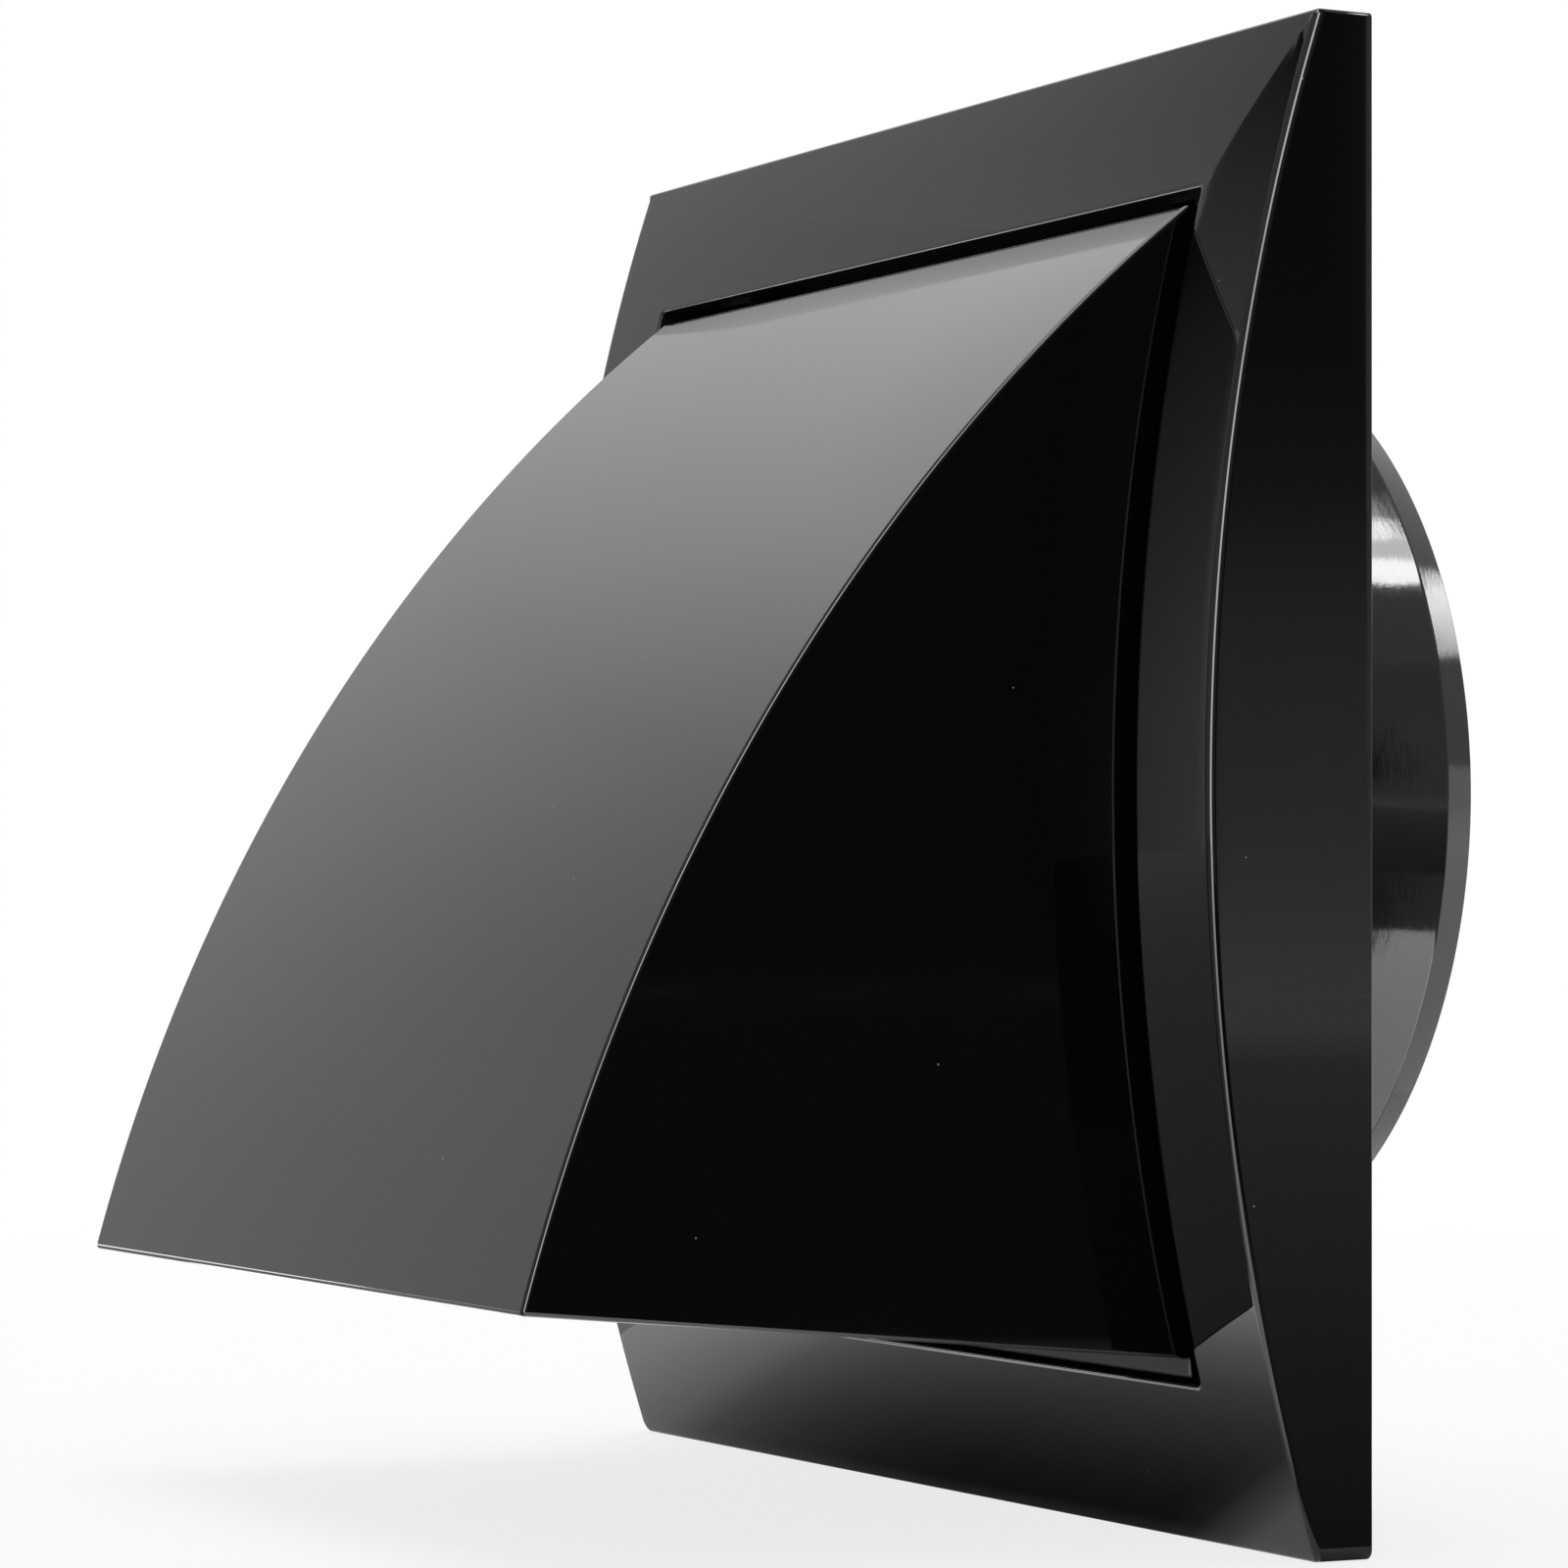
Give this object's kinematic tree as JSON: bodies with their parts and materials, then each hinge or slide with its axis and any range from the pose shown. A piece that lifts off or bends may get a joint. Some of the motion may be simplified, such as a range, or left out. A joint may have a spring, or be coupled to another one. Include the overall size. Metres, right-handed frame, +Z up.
{
  "type": "wall exhaust vent hood",
  "caption": "Square wall plate with an arched face, a curved clip-in hood open below, a round duct spigot behind and a gravity flap inside.",
  "frame": {"origin": "centre of the duct in the plane of the wall, where the spigot leaves the back of the plate", "axes": "+Y back into the wall along the duct, +Z up, +X to the right seen from in front of the wall"},
  "size_m": [0.148, 0.1096, 0.148],
  "materials": {
    "plate_plastic": "black, high gloss as moulded",
    "hood_plastic": "black, gloss with a faint haze on the curved sheet",
    "flap_plastic": "black, satin as moulded",
    "pin_steel": "drawn steel rod"
  },
  "bodies": {
    "housing": {"base_frame": "plate_plastic", "hood_cowl": "hood_plastic", "flap_pin": "pin_steel"},
    "flap": {"backdraft_flap": "flap_plastic"}
  },
  "joints": [
    {"name": "flap_hinge", "type": "hinge", "parent": "housing", "child": "flap", "pos_m": [0, -0.0069, 0.051], "axis": [-1, 0, 0], "range_deg": [0, 38]}
  ]
}
